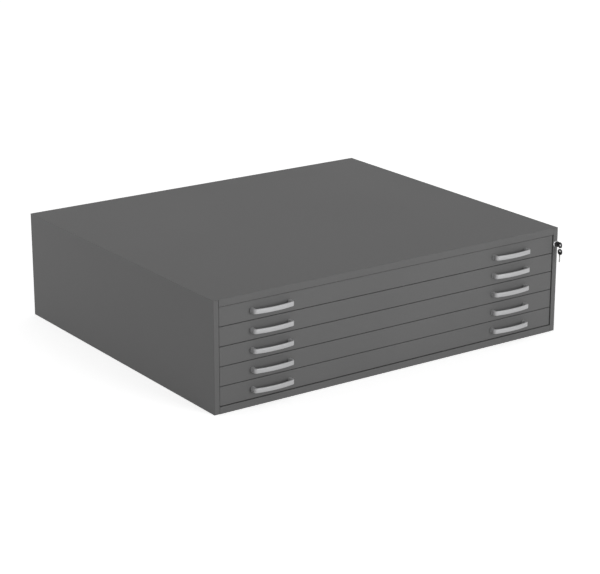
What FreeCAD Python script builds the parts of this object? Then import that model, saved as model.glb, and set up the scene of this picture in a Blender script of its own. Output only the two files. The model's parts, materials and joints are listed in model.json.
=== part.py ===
"""Flat file cabinet for large sheets: a folded-steel case, five wide shallow drawers on
telescopic runners, two bow handles a drawer, and a cam lock that lifts one locking bar.

Millimetres. X is the width, -Y is the front and Z is up. The origin is on the floor, at the
middle of the case's footprint. Each sub-part is written to its own STEP file in parts/.
"""
import FreeCAD, Part
import math
import os

from FreeCAD import Vector

# ---------------------------------------------------------------- driving dimensions
# case
width = 1350.0
depth = 1150.0
height = 360.0
sheet = 1.2                 # case steel
fold_radius = 1.6           # outside radius of a folded edge
rail_fold_radius = 1.0      # outside radius of the narrow folds of the two rails
edge_radius = 0.7           # top sheet's outer edges
post_width = 18.5           # visible front post on each side
post_return = 20.0          # how far the post folds back into the case
top_rail = 22.9             # from the top down to the first drawer gap
bottom_rail = 22.1
rail_seam = 0.6             # between a rail's end and the post
rail_return = 25.0
panel_lip = 25.0            # inward lips at the top and back of the sides
back_screw_inset = 42.0     # from the back panel's lower and upper edges

# drawers
drawer_count = 5
drawer_gap = 1.6            # between fronts, and between fronts and rails
front_side_gap = 2.0        # between a front's end and the post
front_recess = 3.0          # fronts lie this far behind the posts
front_thick = 16.0
front_lip = 12.0            # lips folded in behind the front, which the tray is welded to
tray_sheet = 1.0
tray_hem = 8.0              # height of the hem folded inwards along a wall's top
tray_floor_up = 6.0         # tray floor above the front's lower edge
tray_rear_gap = 14.0        # tray to back panel, filled by the buffer
lock_zone = 8.6             # tray walls end this far below the front's top
hood_depth = 180.0
hood_lip = 4.0
buffer_radius = 8.0
buffer_spacing = 1010.0     # between a drawer's two buffers
buffer_play = 0.3           # buffer to tray

# runners
runner_thick = 12.7
runner_sheet = 1.2
runner_play = 0.4           # between the sections of a runner
runner_length = 1050.0
runner_set_back = 30.0      # case front to runner front
runner_up = 9.5             # runner above the front's lower edge
runner_under_lock = 16.1    # runner top to the front's top, kept free for the catch
leg_to_tray = 2.0           # the outer and middle sections' legs end this far from the tray
middle_to_tray = 6.0        # tray to the middle section's web
inner_screw_inset = 63.0    # from the runner's ends to its outermost screws in the tray
upright_width = 40.0
upright_set_out = 0.2       # opening's side to the uprights' faces
upright_inset = 35.0        # from the runner's ends to the middle of the outermost uprights

# handles
handle_spacing = 940.0      # between the two handles of a drawer
handle_pitch = 136.0        # between a handle's screws
handle_leg = 11.0
handle_reach = 30.0
handle_shoulder = 22.0      # how far out the band starts from the leg
handle_band = 5.0
handle_tall = 15.0
handle_lean = 0.8           # a leg's outer side leans in by this much
handle_inner_lean = 1.5
handle_corner = 7.0
handle_inner_corner = 4.0
handle_edge = 1.6
handle_screw_deep = 12.0

# lock
lock_drop = 54.5            # key axis below the top
rosette_radius = 10.0
rosette_out = 2.4
rosette_edge = 1.6
barrel_radius = 6.0
barrel_length = 25.4
barrel_out = 6.8            # barrel's nose in front of the post
barrel_play = 0.1
flange_wide = 1.4           # flange past the barrel
nut_thick = 3.5
nut_play = 0.3              # between the nut and the post's walls
nut_notch_wide = 2.0
nut_notch_deep = 1.5
plug_radius = 4.0
plug_play = 0.03
plug_out = 7.0              # plug's nose in front of the post
plug_tenon_radius = 2.5
plug_tenon_play = 0.05
cap_radius = 9.8
cap_thick = 4.2
cap_edge = 1.2
cam_thick = 2.0
cam_throw = 4.5             # cam pin from the key axis
cam_pin_radius = 1.25
cam_pin_past = 0.8          # pin's end behind the bar
cam_margin = 0.75           # cam edge past the pin
cam_to_bar = 0.5
cam_slot_play = 0.4         # over and under the pin
cam_slot_end_play = 0.3     # at both ends of the pin's way

# locking bar
bar_set_back = 4.6          # drawer front's back to the bar
bar_thick = 2.0
bar_edge = 5.55             # key axis to the bar's inner edge
bar_width = 13.0
bar_rest_gap = 0.3          # bar above the lower guide's floor
finger_reach = 14.0         # how far a finger stands in from the bar
finger_tall = 6.0
finger_over_runner = 1.5
guide_tall = 14.0
guide_wall = 1.5
guide_play = 0.3
guide_over_rail = 0.1
upper_guide_up = 12.0       # above the second drawer front's lower edge
catch_drop = 1.0            # catch ends this far below the front's top
catch_thick = 1.5
catch_length = 22.0
catch_foot_tall = 6.5
catch_past_front = 1.0      # catch's tab past the front's end
bar_to_catch = 1.4
finger_to_catch = 1.0       # tab above a lowered finger

# keys
key_bow = 19.5              # the key's round-cornered head, square
key_bow_thick = 4.0
key_bow_corner = 8.0
key_hole_radius = 3.6
key_end_rim = 4.0           # from the hole to the head's outer end
key_blade_length = 25.5
key_blade_tall = 6.4
key_blade_thick = 2.2
key_let_in = 5.0            # blade inside the head
key_out = 4.6               # plug's nose to the head
key_slot_play = 0.15
key_slot_deep = 22.5
bitting = (0.9, 1.8, 1.2, 2.2, 1.4)
bitting_start = 8.0
bitting_pitch = 3.0
bitting_wide = 1.8
ring_radius = 8.0
ring_wire = 0.7
ring_drop = 3.4             # ring's centre under the middle of the head's rim
spare_key_play = 0.35       # spare key's rim above the wire that it hangs on

# screws
screw_radius = 2.0
screw_head_radius = 3.8
screw_head_tall = 1.8
screw_play = 0.1
screw_grip = 6.0            # shank under the head
runner_screw_grip = 3.2     # short, so that no tip stands into a tray

# fixing holes in the floor of the case, for a plinth or castor frame
plinth_pitch_x = 1200.0
plinth_pitch_y = 1000.0
plinth_hole_radius = 4.5

past = 1.0                  # how far a cutting shape runs out of what it cuts

# ---------------------------------------------------------------- sizes worked out
half_w = width / 2
half_d = depth / 2
post_front = -half_d
open_half = half_w - post_width
inner_half = half_w - sheet
rail_half = open_half - rail_seam
lip_in = half_w - panel_lip
back_face = half_d - sheet              # where the back panel meets the lips of the sides
back_panel_front = back_face - sheet
case_inner_top = height - 2 * sheet     # under the lips that carry the top

front_half = open_half - front_side_gap
front_tall = (height - top_rail - bottom_rail - (drawer_count + 1) * drawer_gap) / drawer_count
pitch = front_tall + drawer_gap
front_face = post_front + front_recess
front_back = front_face + front_thick

upright_face = open_half + upright_set_out
tray_half = upright_face - runner_thick
tray_back = back_panel_front - tray_rear_gap
runner_front = post_front + runner_set_back
runner_back = runner_front + runner_length
runner_half = (front_tall - runner_up - runner_under_lock) / 2
middle_half = runner_half - runner_sheet - runner_play
inner_half_tall = middle_half - runner_sheet - runner_play
outer_web = upright_face - runner_sheet
leg_start = tray_half + leg_to_tray
middle_web = tray_half + middle_to_tray

lock_x = (half_w + open_half) / 2
lock_z = height - lock_drop
bar_lift = cam_throw * math.sqrt(2)
plug_nose = post_front - plug_out
flange_thick = barrel_out - rosette_out             # the flange fills up to the rosette
bar_front = front_back + bar_set_back
bar_back = bar_front + bar_thick
cam_front = bar_front - cam_to_bar - cam_thick
cam_radius = cam_throw + cam_pin_radius + cam_margin
bar_x0 = lock_x - bar_edge
bar_x1 = bar_x0 + bar_width
finger_x0 = bar_x0 - finger_reach
guide_low = bottom_rail + guide_over_rail
bar_low = guide_low + guide_wall + bar_rest_gap
catch_front = bar_back + bar_to_catch

key_end = plug_nose - key_out - key_bow             # outer end of the key's head
key_eye = key_hole_radius + key_end_rim             # eye's centre from the head's outer end
eye_y = key_end + key_eye
rim_z = lock_z - (key_hole_radius + key_bow / 2) / 2    # middle of the head's lower rim
ring_z = rim_z - ring_drop
hang_z = ring_z - ring_radius                       # ring's lowest wire
spare_key_top = hang_z + ring_wire + spare_key_play + key_end_rim


def drawer_low(number):
    """Lower edge of a drawer's front; drawer 1 is the top one."""
    return bottom_rail + drawer_gap + (drawer_count - number) * pitch


def wall_top(low):
    """Top of a tray's walls."""
    return low + front_tall - lock_zone


def runner_mid(low):
    return low + runner_up + runner_half


def finger_low(low):
    """Lower edge of a finger with the bar down: just above the runner."""
    return low + runner_up + 2 * runner_half + finger_over_runner


# ---------------------------------------------------------------- helpers
def box(x0, x1, y0, y1, z0, z1):
    return Part.makeBox(x1 - x0, y1 - y0, z1 - z0, Vector(x0, y0, z0))


def rod(x, y, z, radius, length, axis):
    return Part.makeCylinder(radius, length, Vector(x, y, z), Vector(*axis))


def one(*shapes):
    """Touching shapes joined into one clean solid."""
    return shapes[0].multiFuse(list(shapes[1:])).removeSplitter()


def mirrored(shape):
    return shape.mirror(Vector(0, 0, 0), Vector(1, 0, 0))


def near(a, b):
    return abs(a - b) < 1e-6


def rounded(shape, radius, wanted):
    """Fillets the edges whose two end points both satisfy wanted(point)."""
    edges = [e for e in shape.Edges if all(wanted(v.Point) for v in e.Vertexes)]
    return shape.makeFillet(radius, edges)


def rounded_end(shape, radius, y):
    """Fillets the round edge that lies at y."""
    return shape.makeFillet(radius, [e for e in shape.Edges if near(e.CenterOfMass.y, y)])


def save(name, *solids):
    shape = solids[0] if len(solids) == 1 else Part.makeCompound(list(solids))
    shape.exportStep("parts/" + name + ".step")


def screw(x, y, z, axis, grip=screw_grip):
    """A button-head screw: (x, y, z) is under the head, axis is the way the shank points."""
    start = [c - a * screw_head_tall for c, a in zip((x, y, z), axis)]
    head = rod(*start, screw_head_radius, screw_head_tall, axis)
    return one(head, rod(x, y, z, screw_radius, grip, axis))


def with_holes(shape, places):
    """Cuts the clearance holes of screws, each from just outside its seat."""
    for x, y, z, axis in places:
        start = [c - a * past for c, a in zip((x, y, z), axis)]
        shape = shape.cut(rod(*start, screw_radius + screw_play, screw_grip + 2 * past, axis))
    return shape


def key_slot(y0, y1):
    """The slot that a key's blade fits, through the lock's axis."""
    half_t = key_blade_thick / 2 + key_slot_play
    half_h = key_blade_tall / 2 + key_slot_play
    return box(lock_x - half_t, lock_x + half_t, y0, y1, lock_z - half_h, lock_z + half_h)


def barrel_hole():
    return rod(lock_x, post_front - 10, lock_z, barrel_radius + barrel_play, 40, (0, 1, 0))


# ---------------------------------------------------------------- case
def side_panel():
    """Right side: outer wall, front post folded from it, and lips for the top and back."""
    top = height - sheet
    post = box(open_half, half_w, post_front, half_d, 0, top)
    post = rounded(post, fold_radius, lambda p: near(p.y, post_front))
    hollow = box(open_half + sheet, inner_half, post_front + sheet, half_d + past, -past, height)
    inside = box(0, inner_half, post_front + post_return, half_d + past, -past, height)
    top_lip = box(lip_in, inner_half, post_front + post_return, half_d, case_inner_top, top)
    back_lip = box(lip_in, inner_half, back_face, half_d, 0, top)
    return one(post.cut(hollow).cut(inside), top_lip, back_lip)


def top_panel():
    """Top sheet with the front rail folded down from it and returned at its lower edge."""
    low = height - top_rail
    top = box(-half_w, half_w, post_front, half_d, height - sheet, height)
    rail = box(-rail_half, rail_half, post_front, post_front + sheet, low, height)
    foot = box(-rail_half, rail_half, post_front, post_front + rail_return, low, low + sheet)
    panel = one(top, rail, foot)
    panel = rounded(panel, edge_radius, lambda p: near(p.z, height))
    return rounded(panel, rail_fold_radius, lambda p: near(p.z, low) and near(p.y, post_front))


def front_bottom_rail():
    """Front channel under the lowest drawer."""
    face = box(-rail_half, rail_half, post_front, post_front + sheet, 0, bottom_rail)
    foot = box(-rail_half, rail_half, post_front, post_front + post_return, 0, sheet)
    cap_low = bottom_rail - sheet
    cap = box(-rail_half, rail_half, post_front, post_front + rail_return, cap_low, bottom_rail)
    channel = one(face, foot, cap)
    return rounded(channel, rail_fold_radius, lambda p: near(p.y, post_front) and p.z > sheet)


def floor_panel():
    floor = box(-inner_half, inner_half, post_front + post_return, back_face, 0, sheet)
    for x in (-plinth_pitch_x / 2, plinth_pitch_x / 2):
        for y in (-plinth_pitch_y / 2, plinth_pitch_y / 2):
            floor = floor.cut(rod(x, y, -past, plinth_hole_radius, sheet + 2 * past, (0, 0, 1)))
    return floor


def back_screws():
    """Seats of the screws that hold the back panel to the lips of the sides."""
    x = (half_w + lip_in) / 2
    low = sheet + back_screw_inset
    high = case_inner_top - back_screw_inset
    rows = (low, (low + high) / 2, high)
    return [(side * x, half_d, z, (0, -1, 0)) for side in (-1, 1) for z in rows]


def back_panel():
    return box(-inner_half, inner_half, back_panel_front, back_face, sheet, case_inner_top)


def upright_centres():
    """Y places of the three channels that carry the runners on each side."""
    first = runner_front + upright_inset
    last = runner_back - upright_inset
    return [first, (first + last) / 2, last]


def upright(y):
    """U channel between floor and top lip, its web facing the drawers."""
    y0 = y - upright_width / 2
    y1 = y + upright_width / 2
    web = box(upright_face, upright_face + sheet, y0, y1, sheet, case_inner_top)
    legs = [box(upright_face + sheet, inner_half, start, start + sheet, sheet, case_inner_top)
            for start in (y0, y1 - sheet)]
    return one(web, *legs)


def drawer_buffers(low):
    z = (low + tray_floor_up + wall_top(low)) / 2
    start = tray_back + buffer_play
    return [rod(x, start, z, buffer_radius, back_panel_front - start, (0, 1, 0))
            for x in (-buffer_spacing / 2, buffer_spacing / 2)]


# ---------------------------------------------------------------- runners (right side)
def channel(x_web, x_leg0, x_leg1, mid, half):
    """A runner section: web at x_web and two legs from x_leg0 to x_leg1, half tall each way."""
    y0 = runner_front
    y1 = runner_back
    web = box(x_web, x_web + runner_sheet, y0, y1, mid - half, mid + half)
    lower = box(x_leg0, x_leg1, y0, y1, mid - half, mid - half + runner_sheet)
    upper = box(x_leg0, x_leg1, y0, y1, mid + half - runner_sheet, mid + half)
    return one(web, lower, upper)


def outer_member(low):
    return channel(outer_web, leg_start, upright_face, runner_mid(low), runner_half)


def middle_member(low):
    return channel(middle_web, leg_start, outer_web - runner_play, runner_mid(low), middle_half)


def inner_member(low):
    leg_end = middle_web - runner_play
    return channel(tray_half, tray_half, leg_end, runner_mid(low), inner_half_tall)


def outer_screws(low):
    return [(outer_web, y, runner_mid(low), (1, 0, 0)) for y in upright_centres()]


def inner_screws(low):
    first = runner_front + inner_screw_inset
    last = runner_back - inner_screw_inset
    seat = tray_half + runner_sheet
    return [(seat, y, runner_mid(low), (-1, 0, 0)) for y in (first, (first + last) / 2, last)]


# ---------------------------------------------------------------- drawers
def tray(low):
    """Five sheets spot-welded to a tray: the floor, and four walls hemmed inwards at the top."""
    t = tray_sheet
    z0 = low + tray_floor_up
    z1 = wall_top(low)
    y0 = front_back
    y1 = tray_back
    inner = tray_half - t
    floor = box(-inner, inner, y0 + t, y1 - t, z0, z0 + t)
    hem_low = z1 - tray_hem
    side = one(box(inner, tray_half, y0, y1, z0, z1), box(inner - t, inner, y0 + t, y1 - t, hem_low, z1))
    ends = []
    for wall, hem in ((y0, y0 + t), (y1 - t, y1 - 2 * t)):
        sheet_wall = box(-inner, inner, wall, wall + t, z0, z1)
        ends.append(one(sheet_wall, box(-inner + t, inner - t, hem, hem + t, hem_low, z1)))
    return floor, side, mirrored(side), ends


def front(low):
    """Folded drawer front: a hollow pan whose rear lips the tray is welded to."""
    high = low + front_tall
    outer = box(-front_half, front_half, front_face, front_back, low, high)
    outer = rounded(outer, fold_radius, lambda p: near(p.y, front_face))
    t = sheet
    inner = box(-front_half + t, front_half - t, front_face + t, front_back - t, low + t, high - t)
    mouth_half = front_half - front_lip
    mouth = box(-mouth_half, mouth_half, front_back - t - past, front_back + past,
                low + front_lip, high - front_lip)
    return outer.cut(inner).cut(mouth)


def hood(low):
    """Rear sheet cover that stops the papers from riding over the back wall."""
    z = wall_top(low)
    start = tray_back - hood_depth
    lip_half = tray_half - 2 * tray_sheet
    plate = box(-tray_half, tray_half, start, tray_back, z, z + tray_sheet)
    lip = box(-lip_half, lip_half, start, start + tray_sheet, z - hood_lip, z)
    return one(plate, lip)


def catch(low):
    """Angle on the tray's right wall; the locking bar's finger rises in front of its tab."""
    top = low + front_tall - catch_drop
    foot_low = wall_top(low) - catch_foot_tall
    tab_low = finger_low(low) + finger_tall + finger_to_catch
    foot = box(tray_half, tray_half + catch_thick, catch_front, catch_front + catch_length, foot_low, top)
    tab_end = front_half + catch_past_front
    tab = box(tray_half, tab_end, catch_front, catch_front + catch_thick, tab_low, top)
    return one(foot, tab)


def handle_outline():
    """Plan of a bow handle about its own middle; it reaches out to -Y from the drawer front."""
    out = (handle_pitch + handle_leg) / 2
    inn = (handle_pitch - handle_leg) / 2
    shoulder = out - handle_lean
    inner_shoulder = inn + handle_inner_lean
    inner_reach = handle_band - handle_reach
    inner_start = handle_band - handle_shoulder
    outer = [Vector(-out, 0, 0), Vector(-shoulder, -handle_shoulder, 0), Vector(0, -handle_reach, 0),
             Vector(shoulder, -handle_shoulder, 0), Vector(out, 0, 0)]
    inner = [Vector(inn, 0, 0), Vector(inner_shoulder, inner_start, 0), Vector(0, inner_reach, 0),
             Vector(-inner_shoulder, inner_start, 0), Vector(-inn, 0, 0)]
    edges = []
    for a, b, c, d, e in (outer, inner):
        edges += [Part.LineSegment(a, b), Part.Arc(b, c, d), Part.LineSegment(d, e)]
    edges.insert(3, Part.LineSegment(outer[-1], inner[0]))
    edges.append(Part.LineSegment(inner[-1], outer[0]))
    return Part.Wire([e.toShape() for e in edges]), shoulder, inner_shoulder


def handle():
    """Bow handle centred on its own middle, feet at y = 0, with blind screw holes."""
    outline, shoulder, inner_shoulder = handle_outline()
    half = handle_tall / 2
    outline.translate(Vector(0, 0, -half))
    body = Part.Face(outline).extrude(Vector(0, 0, handle_tall))
    for side in (-1, 1):
        body = rounded(body, handle_corner, lambda p: near(p.x, side * shoulder))
        body = rounded(body, handle_inner_corner, lambda p: near(p.x, side * inner_shoulder))
    rims = [e for e in body.Edges if all(near(abs(v.Point.z), half) for v in e.Vertexes)]
    rims = [e for e in rims if any(v.Point.y < -0.5 for v in e.Vertexes)]
    body = body.makeFillet(handle_edge, rims)
    for x in (-handle_pitch / 2, handle_pitch / 2):
        radius = screw_radius + screw_play
        body = body.cut(rod(x, past, 0, radius, handle_screw_deep + past, (0, -1, 0)))
    return body


def handles(low):
    pair = []
    for x in (-handle_spacing / 2, handle_spacing / 2):
        bow = handle()
        bow.translate(Vector(x, front_face, low + front_tall / 2))
        pair.append(bow)
    return pair


def handle_screws(low):
    """Seats of the four screws that come through the front into the handles."""
    z = low + front_tall / 2
    return [(side * handle_spacing / 2 + end * handle_pitch / 2, front_face + sheet, z, (0, -1, 0))
            for side in (-1, 1) for end in (-1, 1)]


# ---------------------------------------------------------------- lock
def lock_rosette():
    """Dished ring under the barrel's flange."""
    face = post_front - rosette_out
    ring = rod(lock_x, face, lock_z, rosette_radius, rosette_out, (0, 1, 0))
    return rounded_end(ring, rosette_edge, face).cut(barrel_hole())


def lock_barrel():
    """Lock barrel through the post, flanged over the rosette."""
    nose = post_front - barrel_out
    flange = rod(lock_x, nose, lock_z, barrel_radius + flange_wide, flange_thick, (0, 1, 0))
    tube = rod(lock_x, nose, lock_z, barrel_radius, barrel_length, (0, 1, 0))
    bore_length = barrel_length + 2 * past
    bore = rod(lock_x, nose - past, lock_z, plug_radius + plug_play, bore_length, (0, 1, 0))
    return one(flange, tube).cut(bore)


def lock_nut():
    """Slotted round nut that clamps the barrel behind the post's face."""
    y = post_front + sheet
    back = y + nut_thick
    radius = post_width / 2 - sheet - nut_play
    ring = rod(lock_x, y, lock_z, radius, nut_thick, (0, 1, 0)).cut(barrel_hole())
    half = nut_notch_wide / 2
    notch = box(lock_x - radius, lock_x + radius, back - nut_notch_deep, back + past,
                lock_z - half, lock_z + half)
    return ring.cut(notch)


def lock_plug():
    """Turning plug: nose with the key slot, and a tenon that carries the cam."""
    body = rod(lock_x, plug_nose, lock_z, plug_radius, cam_front - plug_nose, (0, 1, 0))
    tenon = rod(lock_x, cam_front, lock_z, plug_tenon_radius, cam_thick, (0, 1, 0))
    return one(body, tenon).cut(key_slot(plug_nose - past, plug_nose + key_slot_deep))


def plug_cap():
    """Round cap on the plug's nose, with the slot that guides the key in."""
    face = plug_nose - cap_thick
    cap = rounded_end(rod(lock_x, face, lock_z, cap_radius, cap_thick, (0, 1, 0)), cap_edge, face)
    return cap.cut(key_slot(face - past, plug_nose + past))


def lock_cam():
    """Disc on the plug's tenon, with the pin that lifts the bar."""
    disc = rod(lock_x, cam_front, lock_z, cam_radius, cam_thick, (0, 1, 0))
    bore_radius = plug_tenon_radius + plug_tenon_play
    disc = disc.cut(rod(lock_x, cam_front - past, lock_z, bore_radius, cam_thick + 2 * past, (0, 1, 0)))
    offset = cam_throw / math.sqrt(2)
    pin_length = bar_back + cam_pin_past - cam_front
    pin = rod(lock_x + offset, cam_front, lock_z - offset, cam_pin_radius, pin_length, (0, 1, 0))
    return one(disc, pin)


def locking_bar():
    """Flat bar behind the right post: one finger a drawer and a cross slot for the cam pin."""
    high = drawer_low(1) + front_tall - catch_drop
    strip = box(bar_x0, bar_x1, bar_front, bar_back, bar_low, high)
    fingers = []
    for number in range(1, drawer_count + 1):
        z = finger_low(drawer_low(number))
        fingers.append(box(finger_x0, bar_x0, bar_front, bar_back, z, z + finger_tall))
    pin_z = lock_z - cam_throw / math.sqrt(2)
    slot_half = cam_pin_radius + cam_slot_play
    end = cam_pin_radius + cam_slot_end_play
    slot_start = lock_x + cam_throw / math.sqrt(2) - end
    slot_end = lock_x + cam_throw + end
    slot = box(slot_start, slot_end, bar_front - past, bar_back + past, pin_z - slot_half, pin_z + slot_half)
    return one(strip, *fingers).cut(slot)


def bar_guide(z, floor):
    """Plastic guide on the side panel; the lower one has a floor, which stops the bar."""
    y0 = bar_front - guide_play
    y1 = bar_back + guide_play
    x0 = bar_x0 - guide_play
    block = box(x0 - guide_wall, inner_half, y0 - guide_wall, y1 + guide_wall, z, z + guide_tall)
    return block.cut(box(x0, bar_x1 + guide_play, y0, y1, z + floor, z + guide_tall + past))


# ---------------------------------------------------------------- keys
def key_shank(y0, y1):
    half_t = key_blade_thick / 2
    half_h = key_blade_tall / 2
    return box(-half_t, half_t, y0, y1, -half_h, half_h)


def key_head():
    """Round-cornered head in the YZ plane; its outer end is at y = 0 and it runs to +Y."""
    half = key_bow / 2
    half_t = key_bow_thick / 2
    plate = box(-half_t, half_t, 0, key_bow, -half, half)
    corners = [e for e in plate.Edges if near(e.Vertexes[0].Point.y, e.Vertexes[1].Point.y)
               and near(e.Vertexes[0].Point.z, e.Vertexes[1].Point.z)]
    plate = plate.makeFillet(key_bow_corner, corners)
    eye = rod(-half_t - past, key_eye, 0, key_hole_radius, key_bow_thick + 2 * past, (1, 0, 0))
    return plate.cut(eye).cut(key_shank(key_bow - key_let_in, key_bow + past))


def key_blade():
    """Flat blade let into the head, with its bitting cut along one edge."""
    blade = key_shank(key_bow - key_let_in, key_bow + key_blade_length)
    edge = key_blade_tall / 2
    half_t = key_blade_thick / 2 + past
    for place, deep in enumerate(bitting):
        y = key_bow + bitting_start + bitting_pitch * place
        blade = blade.cut(box(-half_t, half_t, y, y + bitting_wide, edge - deep, edge + past))
    return blade


def key_at(x, y, z, turn):
    """A key's head and blade with the head's outer end at the given place."""
    place = FreeCAD.Placement(Vector(x, y, z), FreeCAD.Rotation(Vector(1, 0, 0), turn))
    return [piece.transformed(place.toMatrix()) for piece in (key_head(), key_blade())]


# ---------------------------------------------------------------- build and write
def write_case():
    lows = [drawer_low(number) for number in range(1, drawer_count + 1)]
    right = with_holes(side_panel(), back_screws())
    save("left_side_panel", mirrored(right))
    save("right_side_panel", right.cut(barrel_hole()))
    save("top_panel", top_panel())
    save("front_bottom_rail", front_bottom_rail())
    save("floor_panel", floor_panel())
    save("back_panel", with_holes(back_panel(), back_screws()))
    save("back_panel_screws", *[screw(*place) for place in back_screws()])
    places = [place for low in lows for place in outer_screws(low)]
    uprights = [with_holes(upright(y), [p for p in places if near(p[1], y)]) for y in upright_centres()]
    save("right_uprights", *uprights)
    save("left_uprights", *[mirrored(u) for u in uprights])
    members = [with_holes(outer_member(low), outer_screws(low)) for low in lows]
    save("runner_outer_members", *members, *[mirrored(m) for m in members])
    screws = [screw(*place) for place in places]
    save("runner_screws", *screws, *[mirrored(s) for s in screws])
    save("drawer_buffers", *[buffer for low in lows for buffer in drawer_buffers(low)])


def write_lock():
    save("lock_rosette", lock_rosette())
    save("lock_barrel", lock_barrel())
    save("lock_nut", lock_nut())
    save("lock_plug", lock_plug())
    save("plug_cap", plug_cap())
    save("lock_cam", lock_cam())
    save("locking_bar", locking_bar())
    upper = drawer_low(2) + upper_guide_up
    save("bar_guides", bar_guide(guide_low, guide_wall), bar_guide(upper, -past))


def write_keys():
    head, blade = key_at(lock_x, key_end, lock_z, 0)
    save("key_head", head)
    save("key_blade", blade)
    head, blade = key_at(lock_x, eye_y, spare_key_top, -90)
    save("spare_key_head", head)
    save("spare_key_blade", blade)
    centre = Vector(lock_x, eye_y, ring_z)
    save("key_ring", Part.makeTorus(ring_radius, ring_wire, centre, Vector(0, 1, 0)))


def write_drawer(number):
    low = drawer_low(number)
    name = "drawer_%d_" % number
    right_places = inner_screws(low)
    left_places = [(-x, y, z, (1, 0, 0)) for x, y, z, _ in right_places]
    floor, side, other_side, ends = tray(low)
    sides = [with_holes(side, right_places), with_holes(other_side, left_places)]
    save(name + "tray", floor, *sides, *ends)
    save(name + "front", with_holes(front(low), handle_screws(low)))
    save(name + "hood", hood(low))
    save(name + "handles", *handles(low))
    member = with_holes(inner_member(low), right_places)
    save(name + "side_fittings", member, mirrored(member), catch(low))
    screws = [screw(*place, runner_screw_grip) for place in right_places + left_places]
    save(name + "screws", *screws, *[screw(*place) for place in handle_screws(low)])
    middle = middle_member(low)
    save(name + "middle_members", middle, mirrored(middle))


os.makedirs("parts", exist_ok=True)
write_case()
write_lock()
write_keys()
for drawer in range(1, drawer_count + 1):
    write_drawer(drawer)
print("front height %.2f, bar lift %.4f" % (front_tall, bar_lift))
print("lock axis x %.3f z %.3f" % (lock_x, lock_z))
print("ring hinge y %.3f z %.3f, spare key hinge z %.3f" % (eye_y, rim_z, hang_z))
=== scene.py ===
"""Looks of a flat file cabinet: powder-coated steel case and drawers, satin bow handles, a chrome
lock with its keys on a split ring, and zinc-plated runners. Metres; X is the width, -Y the front.
"""
import json
import math

import bmesh
import bpy
from mathutils import Matrix, Vector


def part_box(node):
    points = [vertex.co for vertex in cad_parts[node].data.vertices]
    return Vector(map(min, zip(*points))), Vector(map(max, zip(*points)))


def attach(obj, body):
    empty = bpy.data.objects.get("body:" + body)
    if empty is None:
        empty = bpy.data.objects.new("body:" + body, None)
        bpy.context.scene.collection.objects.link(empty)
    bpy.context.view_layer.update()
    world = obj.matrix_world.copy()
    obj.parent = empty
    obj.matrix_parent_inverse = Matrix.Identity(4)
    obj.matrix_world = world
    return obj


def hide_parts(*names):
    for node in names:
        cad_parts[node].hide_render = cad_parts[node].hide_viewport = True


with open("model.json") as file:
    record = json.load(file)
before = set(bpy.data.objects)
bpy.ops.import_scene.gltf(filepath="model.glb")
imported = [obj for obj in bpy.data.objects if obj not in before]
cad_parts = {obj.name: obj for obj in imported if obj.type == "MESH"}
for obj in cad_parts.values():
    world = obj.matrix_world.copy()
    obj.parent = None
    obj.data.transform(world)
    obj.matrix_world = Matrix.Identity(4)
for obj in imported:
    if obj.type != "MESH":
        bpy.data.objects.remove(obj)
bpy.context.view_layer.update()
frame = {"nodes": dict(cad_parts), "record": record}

NODES = frame["nodes"]
DRAWERS = [n[: -len("_tray")] for n in sorted(NODES) if n.endswith("_tray")]
MM = 0.001


# ---------------------------------------------------------------- materials
def link(tree, source, target):
    tree.links.new(source, target)


def new_group(name, inputs, outputs):
    """An empty node group with float or colour sockets: inputs are (name, kind, value)."""
    tree = bpy.data.node_groups.new(name, "ShaderNodeTree")
    for label, kind, value in inputs:
        socket = tree.interface.new_socket(label, in_out="INPUT", socket_type="NodeSocket" + kind)
        socket.default_value = value
    for label, kind in outputs:
        tree.interface.new_socket(label, in_out="OUTPUT", socket_type="NodeSocket" + kind)
    start = tree.nodes.new("NodeGroupInput")
    end = tree.nodes.new("NodeGroupOutput")
    return tree, start, end


def math_node(tree, operation, *values, clamp=False):
    """A Math node; each value is a number or the output that feeds it."""
    node = tree.nodes.new("ShaderNodeMath")
    node.operation = operation
    node.use_clamp = clamp
    for socket, value in zip(node.inputs, values):
        if isinstance(value, (int, float)):
            socket.default_value = value
        else:
            link(tree, value, socket)
    return node.outputs[0]


def noise(tree, vector, scale, detail, roughness=0.55):
    node = tree.nodes.new("ShaderNodeTexNoise")
    node.inputs["Detail"].default_value = detail
    node.inputs["Roughness"].default_value = roughness
    if isinstance(scale, (int, float)):
        node.inputs["Scale"].default_value = scale
    else:
        link(tree, scale, node.inputs["Scale"])
    link(tree, vector, node.inputs["Vector"])
    return node.outputs["Fac"]


def colour_mix(tree, blend, factor, a, b):
    """A colour Mix node; the factor and the two colours are values or outputs."""
    node = tree.nodes.new("ShaderNodeMix")
    node.data_type = "RGBA"
    node.blend_type = blend
    for index, value in ((0, factor), (6, a), (7, b)):      # a colour mix uses these sockets
        if isinstance(value, (float, tuple)):
            node.inputs[index].default_value = value
        else:
            link(tree, value, node.inputs[index])
    return node.outputs[2]


def stretched(tree, stretch):
    """Object coordinates, squeezed along the way that a brushed or drawn grain runs."""
    coordinates = tree.nodes.new("ShaderNodeTexCoord")
    mapping = tree.nodes.new("ShaderNodeMapping")
    mapping.inputs["Scale"].default_value = stretch
    link(tree, coordinates.outputs["Object"], mapping.inputs["Vector"])
    return mapping.outputs["Vector"]


SPECK_SCALE = 3100.0
DRIFT_SCALE = 2.6
TONE_SWING = 0.10           # how far drift and specks each shift the tone
COAT_ROUGHNESS = 0.5
ROUGHNESS_SWING = 0.12
DUST_COLOUR = (0.42, 0.41, 0.39, 1.0)
DUST_SCALE = 11.0
DUST_FALL = 4.0             # how fast dust thins as a face leans over
CLOUD_SCALE = 14.0


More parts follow.
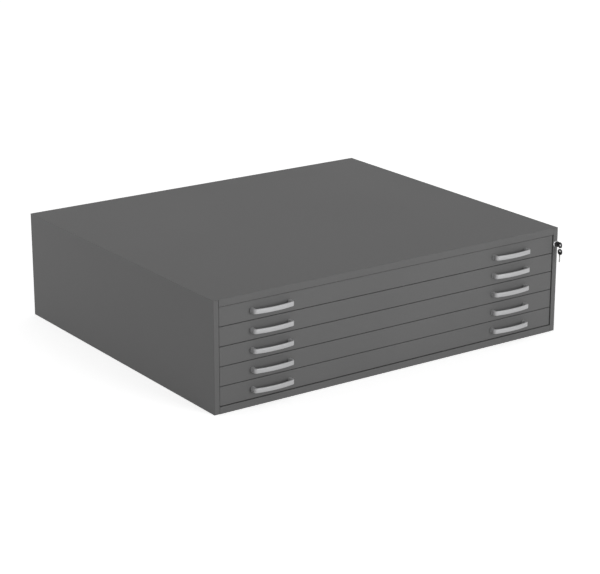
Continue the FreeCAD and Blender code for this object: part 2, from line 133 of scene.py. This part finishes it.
def build_coat_group():
    """Powder coat: a pebbled skin, a slow drift of tone, and a little dust on what faces up."""
    tree, start, end = new_group(
        "powder_coat",
        [("Vector", "Vector", (0, 0, 0)), ("Colour", "Color", (0.1, 0.1, 0.1, 1)),
         ("Pebble Scale", "Float", 900.0), ("Dust", "Float", 0.05)],
        [("Colour", "Color"), ("Roughness", "Float"), ("Height", "Float")])
    vector = start.outputs["Vector"]
    pebble = noise(tree, vector, start.outputs["Pebble Scale"], 2.0)
    speck = noise(tree, vector, SPECK_SCALE, 1.0)
    drift = noise(tree, vector, DRIFT_SCALE, 4.0)
    geometry = tree.nodes.new("ShaderNodeNewGeometry")
    split = tree.nodes.new("ShaderNodeSeparateXYZ")
    link(tree, geometry.outputs["Normal"], split.inputs[0])
    up = math_node(tree, "MAXIMUM", split.outputs["Z"], 0.0)
    up = math_node(tree, "POWER", up, DUST_FALL)
    dust = math_node(tree, "MULTIPLY", up, start.outputs["Dust"])
    dust = math_node(tree, "MULTIPLY", dust, noise(tree, vector, DUST_SCALE, 6.0, 0.7))
    tone = math_node(tree, "MULTIPLY_ADD", drift, TONE_SWING, -TONE_SWING / 2)
    grain = math_node(tree, "MULTIPLY_ADD", speck, TONE_SWING, -TONE_SWING / 2)
    shift = math_node(tree, "ADD", math_node(tree, "ADD", tone, grain), 0.5)
    toned = colour_mix(tree, "OVERLAY", 1.0, start.outputs["Colour"], shift)
    link(tree, colour_mix(tree, "MIX", dust, toned, DUST_COLOUR), end.inputs["Colour"])
    rough = math_node(tree, "MULTIPLY_ADD", drift, ROUGHNESS_SWING, COAT_ROUGHNESS)
    link(tree, math_node(tree, "ADD", rough, dust), end.inputs["Roughness"])
    link(tree, pebble, end.inputs["Height"])
    return tree


def build_metal_group():
    """Worked metal: fine lines along the grain, cloudy patches and finger-worn gloss."""
    tree, start, end = new_group(
        "worked_metal",
        [("Vector", "Vector", (0, 0, 0)), ("Colour", "Color", (0.6, 0.6, 0.6, 1)),
         ("Grain Scale", "Float", 400.0), ("Contrast", "Float", 0.2), ("Gloss", "Float", 0.3)],
        [("Colour", "Color"), ("Roughness", "Float"), ("Height", "Float")])
    vector = start.outputs["Vector"]
    lines = noise(tree, vector, start.outputs["Grain Scale"], 4.0, 0.7)
    cloud = noise(tree, vector, CLOUD_SCALE, 3.0)
    centred = math_node(tree, "SUBTRACT", math_node(tree, "ADD", lines, cloud), 1.0)
    weight = math_node(tree, "MULTIPLY", centred, start.outputs["Contrast"])
    tone = math_node(tree, "ADD", weight, 0.5)
    toned = colour_mix(tree, "OVERLAY", 1.0, start.outputs["Colour"], tone)
    link(tree, toned, end.inputs["Colour"])
    rough = math_node(tree, "ADD", weight, start.outputs["Gloss"], clamp=True)
    link(tree, rough, end.inputs["Roughness"])
    link(tree, lines, end.inputs["Height"])
    return tree


COAT = build_coat_group()
METAL = build_metal_group()
EVEN = (1, 1, 1)            # a grain that runs no particular way
COAT_SHINE = 0.18
PLASTIC_SHINE = 0.4
PEBBLE_DEEP = 0.0002
GRAIN_DEEP = 0.0001


def finish_material(name, group, values, stretch, bump, bump_deep, sockets):
    """A Principled material whose colour, roughness and height come from one group."""
    material = bpy.data.materials.new(name)
    material.use_nodes = True
    tree = material.node_tree
    shader = tree.nodes["Principled BSDF"]
    for socket, value in sockets.items():
        shader.inputs[socket].default_value = value
    node = tree.nodes.new("ShaderNodeGroup")
    node.node_tree = group
    for socket, value in values.items():
        node.inputs[socket].default_value = value
    link(tree, stretched(tree, stretch), node.inputs["Vector"])
    link(tree, node.outputs["Colour"], shader.inputs["Base Color"])
    link(tree, node.outputs["Roughness"], shader.inputs["Roughness"])
    lift = tree.nodes.new("ShaderNodeBump")
    lift.inputs["Strength"].default_value = bump
    lift.inputs["Distance"].default_value = bump_deep
    link(tree, node.outputs["Height"], lift.inputs["Height"])
    link(tree, lift.outputs["Normal"], shader.inputs["Normal"])
    return material


def coat(name, colour, pebble=900.0, dust=0.02, bump=0.25, shine=COAT_SHINE):
    values = {"Colour": (*colour, 1), "Pebble Scale": pebble, "Dust": dust}
    sockets = {"Metallic": 0.0, "Specular IOR Level": shine}
    return finish_material(name, COAT, values, EVEN, bump, PEBBLE_DEEP, sockets)


def metal(name, colour, grain, stretch, contrast, gloss, bump=0.1, metallic=1.0):
    values = {"Colour": (*colour, 1), "Grain Scale": grain, "Contrast": contrast, "Gloss": gloss}
    return finish_material(name, METAL, values, stretch, bump, GRAIN_DEEP, {"Metallic": metallic})


MATERIALS = {
    "case_paint": coat("case_powder_coat", (0.122, 0.122, 0.122)),
    "drawer_paint": coat("front_powder_coat", (0.124, 0.124, 0.124)),
    "tray_paint": coat("tray_powder_coat", (0.125, 0.125, 0.125)),
    "handle_silver": metal("handle_satin_silver", (0.42, 0.42, 0.425), grain=700.0,
                           stretch=(0.05, 1, 1), contrast=0.16, gloss=0.5, metallic=0.15),
    "chrome": metal("lock_chrome", (0.72, 0.72, 0.73), grain=60.0, stretch=EVEN, contrast=0.05,
                    gloss=0.2, bump=0.02, metallic=0.85),
    "key_nickel": metal("key_nickel", (0.86, 0.86, 0.84), grain=500.0, stretch=(1, 0.2, 1),
                        contrast=0.12, gloss=0.5, metallic=0.5),
    "zinc_steel": metal("zinc_sheet", (0.50, 0.51, 0.52), grain=240.0, stretch=(1, 1, 0.3),
                        contrast=0.35, gloss=0.38),
    "runner_zinc": metal("runner_steel", (0.56, 0.57, 0.58), grain=900.0, stretch=(1, 0.03, 1),
                         contrast=0.3, gloss=0.3),
    "screw_zinc": metal("screw_zinc", (0.52, 0.52, 0.50), grain=600.0, stretch=EVEN,
                        contrast=0.3, gloss=0.3),
    "key_plastic": coat("key_black_plastic", (0.018, 0.018, 0.019), pebble=2600.0, dust=0.01,
                        bump=0.35, shine=PLASTIC_SHINE),
    "guide_plastic": coat("guide_plastic", (0.05, 0.05, 0.052), pebble=1800.0, dust=0.0,
                          bump=0.2, shine=PLASTIC_SHINE),
    "rubber_buffer": coat("buffer_rubber", (0.022, 0.022, 0.022), pebble=1500.0, bump=0.4),
}


def dress_cad_nodes():
    """Gives every CAD node the material of its slot in the record."""
    slots = {s["node"]: s["material_slot"] for s in frame["record"]["subparts"]}
    for name, obj in NODES.items():
        obj.data.materials.clear()
        obj.data.materials.append(MATERIALS[slots[name]])


# ---------------------------------------------------------------- mesh helpers
SMOOTH_ANGLE = math.radians(32.0)
MERGE = 0.001               # millimetres; points nearer than this become one


def smooth_by_angle(bm):
    """Shades the faces smooth, with a sharp line at each edge that turns further."""
    for face in bm.faces:
        face.smooth = True
    for edge in bm.edges:
        edge.smooth = len(edge.link_faces) == 2 and edge.calc_face_angle(0.0) < SMOOTH_ANGLE


def piece(name, bm, body, slot, replaced):
    """Turns a finished bmesh into a piece that rides on a body and stands for a CAD node."""
    smooth_by_angle(bm)
    mesh = bpy.data.meshes.new(name)
    bm.to_mesh(mesh)
    bm.free()
    mesh.materials.append(MATERIALS[slot])
    obj = bpy.data.objects.new(name, mesh)
    bpy.context.scene.collection.objects.link(obj)
    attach(obj, body)
    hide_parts(replaced)


def moved(bm, matrix, verts=None):
    bmesh.ops.transform(bm, matrix=matrix, verts=verts or bm.verts[:])


def drawn(bm, face, matrix):
    """Draws a face out of the solid that it ends and places the new end with a matrix."""
    made = bmesh.ops.extrude_face_region(bm, geom=[face])["geom"]
    end = next(part for part in made if isinstance(part, bmesh.types.BMFace))
    if face.is_valid and any(len(edge.link_faces) > 2 for edge in face.edges):
        bmesh.ops.delete(bm, geom=[face], context="FACES_ONLY")
    moved(bm, matrix, end.verts[:])
    return end


def about(centre, degrees, axis):
    """A turn about a line through a point."""
    there = Matrix.Translation(centre)
    return there @ Matrix.Rotation(math.radians(degrees), 4, axis) @ there.inverted()


def closed(bm):
    """Joins the seams and poles of a millimetre shape and turns its faces outwards."""
    bmesh.ops.remove_doubles(bm, verts=bm.verts[:], dist=MERGE)
    bmesh.ops.recalc_face_normals(bm, faces=bm.faces[:])


def turned(bm, profile, axis, steps):
    """Spins a closed profile of (radius, place along the axis) points about an axis."""
    across = Vector((0, 0, 1)) if axis.z == 0 else Vector((1, 0, 0))
    verts = [bm.verts.new(across * radius + axis * along) for radius, along in profile]
    edges = [bm.edges.new(pair) for pair in zip(verts, verts[1:] + verts[:1])]
    bmesh.ops.spin(bm, geom=verts + edges, cent=(0, 0, 0), axis=axis, angle=math.tau,
                   steps=steps, use_merge=True)


def template(build):
    """Builds a shape in millimetres once and keeps it as a mesh to be placed many times."""
    bm = bmesh.new()
    build(bm)
    closed(bm)
    mesh = bpy.data.meshes.new(build.__name__)
    bm.to_mesh(mesh)
    bm.free()
    return mesh


def assembled(parts):
    """A bmesh of (millimetre template, place in metres) pairs."""
    bm = bmesh.new()
    for mesh, place in parts:
        old = len(bm.verts)
        bm.from_mesh(mesh)
        bm.verts.ensure_lookup_table()
        moved(bm, place @ Matrix.Scale(MM, 4), bm.verts[old:])
    return bm


def middle(node):
    low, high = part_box(node)
    return (low + high) / 2


# ---------------------------------------------------------------- handles
FOOT_X = 68.0               # screw axis from the handle's middle
FOOT_THICK = 11.0
HANDLE_TALL = 15.0
LEG_LONG = 13.95
LEG_THICK = 9.3             # where the leg meets the corner
CORNER = (59.7, -13.95, 0.0)
CORNER_RADIUS = 4.0
CORNER_TURN = 76.5
CORNER_STEPS = 8
CORNER_THICK = 6.2          # where the corner meets the bow
BAND_THICK = 4.9            # in the middle of the bow
BOW_CENTRE = (0.0, 235.0, 0.0)
BOW_RADIUS = 260.0
BOW_STEPS = 9
HANDLE_ROUNDING = 1.8
RECESS_BORDER = 2.1
RECESS_WALL = 0.4
RECESS_DEEP = 1.3
RIM_TURN = 1.0              # radians; only edges that turn further are rounded
CORNER_EASE = 1.5           # the corner thins late, the bow evenly
BOW_EASE = 1.0
HALF_APART = 0.47           # metres from the drawer's middle to a handle's middle


def swept(bm, end, centre, radius, degrees, steps, thick, ease):
    """Bends the handle's end round a centre in steps, thinning it on the outer side."""
    for step in range(1, steps + 1):
        end = drawn(bm, end, about(centre, -degrees / steps, "Z"))
        wanted = radius + thick[0] + (thick[1] - thick[0]) * (step / steps) ** ease
        for vert in end.verts:
            arm = vert.co - Vector((centre[0], centre[1], vert.co.z))
            if arm.length > radius + BAND_THICK / 2:
                vert.co += arm.normalized() * (wanted - arm.length)
    return end


def bow_handle(bm):
    """A bow handle: foot, leg, rounded corner and half the bow, then its mirror image."""
    bmesh.ops.create_grid(bm, x_segments=1, y_segments=1, size=0.5)
    foot = Matrix.Translation((FOOT_X, 0, 0)) @ Matrix.Rotation(math.pi / 2, 4, "X")
    moved(bm, foot @ Matrix.Diagonal((FOOT_THICK, HANDLE_TALL, 1, 1)))
    leg_x = CORNER[0] + CORNER_RADIUS + LEG_THICK / 2
    narrow = Matrix.Diagonal((LEG_THICK / FOOT_THICK, 1, 1, 1))
    bm.faces.ensure_lookup_table()
    end = drawn(bm, bm.faces[0], Matrix.Translation((leg_x, -LEG_LONG, 0)) @ narrow
                @ Matrix.Translation((-FOOT_X, 0, 0)))
    end = swept(bm, end, CORNER, CORNER_RADIUS, CORNER_TURN, CORNER_STEPS,
                (LEG_THICK, CORNER_THICK), CORNER_EASE)
    end = swept(bm, end, BOW_CENTRE, BOW_RADIUS, 90 - CORNER_TURN, BOW_STEPS,
                (CORNER_THICK, BAND_THICK), BOW_EASE)
    for vert in end.verts:
        vert.co.x = 0.0
    bmesh.ops.delete(bm, geom=[end], context="FACES_ONLY")
    bmesh.ops.recalc_face_normals(bm, faces=bm.faces[:])
    side = max(bm.faces, key=lambda face: face.calc_center_median().x)
    bmesh.ops.inset_region(bm, faces=[side], thickness=RECESS_BORDER, use_even_offset=True)
    bmesh.ops.inset_region(bm, faces=[side], thickness=RECESS_WALL, depth=-RECESS_DEEP)
    bmesh.ops.mirror(bm, geom=bm.verts[:] + bm.edges[:] + bm.faces[:], axis="X",
                     matrix=Matrix.Identity(4), merge_dist=MERGE)
    closed(bm)
    rims = [edge for edge in bm.edges if edge.calc_face_angle(0.0) > RIM_TURN
            and all(abs(vert.co.z) > HANDLE_TALL / 2 - MERGE for vert in edge.verts)
            and any(vert.co.y < -MERGE for vert in edge.verts)]
    bmesh.ops.bevel(bm, geom=rims, affect="EDGES", offset=HANDLE_ROUNDING, offset_type="OFFSET",
                    segments=4, profile=0.5, material=-1, clamp_overlap=True)


def fit_handles():
    mesh = template(bow_handle)
    for drawer in DRAWERS:
        node = drawer + "_handles"
        foot_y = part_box(node)[1].y
        z = middle(node).z
        pair = [(mesh, Matrix.Translation((x, foot_y, z))) for x in (-HALF_APART, HALF_APART)]
        piece(drawer + "_bow_handles", assembled(pair), drawer, "handle_silver", node)


# ---------------------------------------------------------------- lock and keys
# A profile is a list of (radius, place along the axis) points, in millimetres.
ROSETTE = ((6.1, 0.0), (10.0, 0.0), (10.0, 0.9), (9.85, 1.5), (9.45, 2.0), (8.9, 2.3),
           (8.35, 2.4), (8.2, 2.2), (8.0, 2.2), (7.85, 2.4), (6.1, 2.4))
ROUND_STEPS = 64            # around the rosette and the key heads
KEY_WIDE = 19.5
KEY_CORNER = 8.0
KEY_EYE = 7.6               # from the head's outer end to the middle of its eye
FAR = 20.0                  # profile points near this radius belong to the head's outer edge
HEAD_HALF = ((3.6, 1.5), (4.0, 2.0), (4.4, 2.0), (4.6, 1.45), (FAR - 1.8, 1.45),
             (FAR - 1.6, 2.0), (FAR - 0.6, 2.0), (FAR - 0.15, 1.75), (FAR, 1.3))
HALVINGS = 30               # enough to place the outline to far less than a micron
RING_RADIUS = 8.0
RING_WIRE = 0.35
RING_TURNS = 2
RING_STEPS = 40             # in one turn
WIRE_SIDES = 10


def rosette(bm):
    """Stepped plate round the lock's nose."""
    turned(bm, ROSETTE, Vector((0, -1, 0)), ROUND_STEPS)


def head_reach(direction):
    """How far the key head's round-cornered outline is from its eye in a direction (y, z)."""
    near, far = 0.0, KEY_WIDE * 1.5
    half = KEY_WIDE / 2
    for _ in range(HALVINGS):
        reach = (near + far) / 2
        y = max(abs(KEY_EYE + direction.x * reach - half) - half + KEY_CORNER, 0.0)
        z = max(abs(direction.y * reach) - half + KEY_CORNER, 0.0)
        if math.hypot(y, z) < KEY_CORNER:
            near = reach
        else:
            far = reach
    return near


def key_bow(bm):
    """Moulded key head: a raised rim round the outline and the eye, and a sunk face between."""
    profile = list(HEAD_HALF) + [(radius, -along) for radius, along in reversed(HEAD_HALF)]
    turned(bm, profile, Vector((1, 0, 0)), ROUND_STEPS)
    for vert in bm.verts:
        arm = Vector((vert.co.y, vert.co.z))
        if arm.length > FAR / 2:
            way = arm.normalized()
            arm = way * (head_reach(way) - FAR + arm.length)
        vert.co.y = arm.x + KEY_EYE
        vert.co.z = arm.y


def split_ring(bm):
    """Two turns of spring wire, side by side."""
    bmesh.ops.create_circle(bm, cap_ends=True, segments=WIRE_SIDES, radius=RING_WIRE)
    steps = RING_TURNS * RING_STEPS
    climb = 2 * RING_WIRE / RING_STEPS
    moved(bm, Matrix.Translation((RING_RADIUS, -climb * steps / 2, 0)))
    onward = Matrix.Translation((0, climb, 0)) @ Matrix.Rotation(math.tau / RING_STEPS, 4, "Y")
    bm.faces.ensure_lookup_table()
    end = bm.faces[0]
    for _ in range(steps):
        end = drawn(bm, end, onward)


def fit_lock():
    """Rosette, both key heads and the ring, each at the box of the CAD node that it replaces."""
    seat = middle("lock_rosette")
    seat.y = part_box("lock_rosette")[1].y
    plate = assembled([(template(rosette), Matrix.Translation(seat))])
    piece("lock_rosette_dish", plate, "case", "chrome", "lock_rosette")
    head = template(key_bow)
    tip = middle("key_head")
    tip.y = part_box("key_head")[0].y
    key = assembled([(head, Matrix.Translation(tip))])
    piece("key_bow", key, "key", "key_plastic", "key_head")
    top = middle("spare_key_head")
    top.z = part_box("spare_key_head")[1].z
    hanging = Matrix.Translation(top) @ Matrix.Rotation(-math.pi / 2, 4, "X")
    spare = assembled([(head, hanging)])
    piece("spare_key_bow", spare, "spare_key", "key_plastic", "spare_key_head")
    ring = assembled([(template(split_ring), Matrix.Translation(middle("key_ring")))])
    piece("split_key_ring", ring, "ring", "chrome", "key_ring")


# ---------------------------------------------------------------- screws
HEAD_RADIUS = 3.8
HEAD_TALL = 1.8
SOCKET_FLOOR = 0.7
SOCKET_ROUND = 1.45
SHANK = 2.0
SHANK_END = 0.4
SCREW_HEAD = ((SOCKET_ROUND, 1.7), (1.8, HEAD_TALL), (2.8, 1.5), (3.5, 0.9), (HEAD_RADIUS, 0.3),
              (HEAD_RADIUS, 0.0), (SHANK, 0.0))
SCREW_STEPS = 24
SIXTH = math.radians(60)
HEAD_ONLY = 3.0             # points further from the screw's axis than this are on its head
SAME_POINT = 0.00001        # metres


def screw_shape(grip):
    """A button-head screw with a hexagon socket, standing along +Z on the seat of its head."""
    def button_screw(bm):
        profile = [(0.0, SOCKET_FLOOR), (SOCKET_ROUND, SOCKET_FLOOR), *SCREW_HEAD,
                   (SHANK, SHANK_END - grip), (SHANK - SHANK_END, -grip), (0.0, -grip)]
        turned(bm, profile, Vector((0, 0, 1)), SCREW_STEPS)
        for vert in bm.verts:
            arm = Vector((vert.co.x, vert.co.y, 0))
            if abs(arm.length - SOCKET_ROUND) < MERGE:
                off_flat = math.atan2(arm.y, arm.x) % SIXTH - SIXTH / 2
                vert.co += arm * (math.cos(SIXTH / 2) / math.cos(off_flat) - 1)
    return button_screw


def islands(bm):
    """The separate bodies of a bmesh, as lists of points."""
    left = set(bm.verts)
    while left:
        found = [left.pop()]
        for vert in found:
            near = {edge.other_vert(vert) for edge in vert.link_edges} & left
            left -= near
            found.extend(near)
        yield [vert.co.copy() for vert in found]


def screw_place(points):
    """The matrix that stands a screw on its seat, and its grip in millimetres, from the points
    of its CAD solid."""
    low = Vector([min(point[i] for point in points) for i in range(3)])
    high = Vector([max(point[i] for point in points) for i in range(3)])
    centre = (low + high) / 2
    size = high - low
    way = max(range(3), key=lambda i: abs(size[i] - 2 * MM * HEAD_RADIUS))
    across = [i for i in range(3) if i != way]
    heads = [point[way] for point in points
             if math.hypot(*[point[i] - centre[i] for i in across]) > HEAD_ONLY * MM]
    out = 1 if sum(heads) / len(heads) > centre[way] else -1
    seat = centre.copy()
    seat[way] = min(heads) if out > 0 else max(heads)
    axis = Vector([out if i == way else 0 for i in range(3)])
    turn = axis.to_track_quat("Z", "Y").to_matrix().to_4x4()
    return Matrix.Translation(seat) @ turn, size[way] / MM - HEAD_TALL


def fit_screws():
    """A modelled screw in the place of each CAD screw."""
    bodies = frame["record"]["behaviour"]["bodies"]
    body_of = {node: body for body, names in bodies.items() for node in names}
    meshes = {}
    for node in sorted(name for name in NODES if name.endswith("screws")):
        bm = bmesh.new()
        bm.from_mesh(NODES[node].data)
        bmesh.ops.remove_doubles(bm, verts=bm.verts[:], dist=SAME_POINT)
        screws = []
        for points in islands(bm):
            place, grip = screw_place(points)
            grip = round(grip, 2)
            if grip not in meshes:
                meshes[grip] = template(screw_shape(grip))
            screws.append((meshes[grip], place))
        bm.free()
        piece(node + "_button_heads", assembled(screws), body_of[node], "screw_zinc", node)


# ---------------------------------------------------------------- camera, light and floor
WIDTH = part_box("top_panel")[1].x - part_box("top_panel")[0].x
CAMERA_AZIMUTH = math.radians(-34.94)
CAMERA_ELEVATION = math.radians(17.92)
CAMERA_DISTANCE = 4.849 * WIDTH
CAMERA_TARGET = Vector((0.027 * WIDTH, 0.0, 0.088 * WIDTH))
CAMERA_LENS = 115.74
CAMERA_SENSOR = 36.0
CAMERA_REACH = 100.0
WORLD_LEVEL = 0.505
FLOOR_WHITE = (0.88, 0.88, 0.88, 1)
FLOOR_GLOW = 0.6
FLOOR_RADIUS = 30.0


def add_camera():
    camera = bpy.data.objects.new("camera", bpy.data.cameras.new("camera"))
    bpy.context.scene.collection.objects.link(camera)
    camera.data.lens = CAMERA_LENS
    camera.data.sensor_width = CAMERA_SENSOR
    camera.data.clip_end = CAMERA_REACH
    flat = math.cos(CAMERA_ELEVATION)
    back = Vector((math.sin(CAMERA_AZIMUTH) * flat, -math.cos(CAMERA_AZIMUTH) * flat,
                   math.sin(CAMERA_ELEVATION)))
    camera.location = CAMERA_TARGET + back * CAMERA_DISTANCE
    camera.rotation_euler = (-back).to_track_quat("-Z", "Y").to_euler()
    bpy.context.scene.camera = camera


def seen_rays(tree):
    """1 on camera, glossy and transmission rays, which see the white surroundings."""
    path = tree.nodes.new("ShaderNodeLightPath")
    seen = path.outputs["Is Camera Ray"]
    for kind in ("Is Glossy Ray", "Is Transmission Ray"):
        seen = math_node(tree, "MAXIMUM", seen, path.outputs[kind])
    return seen


def add_world():
    """White to the rays that see it, and a softer even light on the object."""
    world = bpy.data.worlds.new("studio")
    bpy.context.scene.world = world
    world.use_nodes = True
    tree = world.node_tree
    back = tree.nodes["Background"]
    back.inputs["Color"].default_value = (1, 1, 1, 1)
    level = math_node(tree, "MULTIPLY_ADD", seen_rays(tree), 1.0 - WORLD_LEVEL, WORLD_LEVEL)
    link(tree, level, back.inputs["Strength"])


def add_lamp(name, place, aim, size, power):
    """A round soft lamp: places and size in metres, power in watts."""
    lamp = bpy.data.lights.new(name, "AREA")
    lamp.shape = "DISK"
    lamp.size = size
    lamp.energy = power
    obj = bpy.data.objects.new(name, lamp)
    obj.location = place
    obj.rotation_euler = (Vector(aim) - Vector(place)).to_track_quat("-Z", "Y").to_euler()
    bpy.context.scene.collection.objects.link(obj)


def add_floor():
    """White floor: it glows a little to the camera, and the shadow of the case still shows."""
    bm = bmesh.new()
    bmesh.ops.create_circle(bm, cap_ends=True, segments=96, radius=FLOOR_RADIUS)
    mesh = bpy.data.meshes.new("floor")
    bm.to_mesh(mesh)
    bm.free()
    floor = bpy.data.objects.new("floor", mesh)
    bpy.context.scene.collection.objects.link(floor)
    material = bpy.data.materials.new("floor_white")
    material.use_nodes = True
    tree = material.node_tree
    shader = tree.nodes["Principled BSDF"]
    shader.inputs["Base Color"].default_value = FLOOR_WHITE
    shader.inputs["Roughness"].default_value = 1.0
    shader.inputs["Specular IOR Level"].default_value = 0.0
    shader.inputs["Emission Color"].default_value = (1, 1, 1, 1)
    glow = math_node(tree, "MULTIPLY", seen_rays(tree), FLOOR_GLOW)
    link(tree, glow, shader.inputs["Emission Strength"])
    mesh.materials.append(material)


# ---------------------------------------------------------------- build
dress_cad_nodes()
fit_handles()
fit_lock()
fit_screws()
add_camera()
add_world()
add_lamp("front_lamp", place=(1.2, -5.6, 1.0), aim=(0, 0, 0.2), size=2.6, power=139.0)
add_lamp("side_lamp", place=(-3.6, 2.1, 0.9), aim=(-0.67, 0.3, 0.18), size=1.6, power=25.0)
add_floor()

bpy.context.scene.view_settings.view_transform = "Standard"
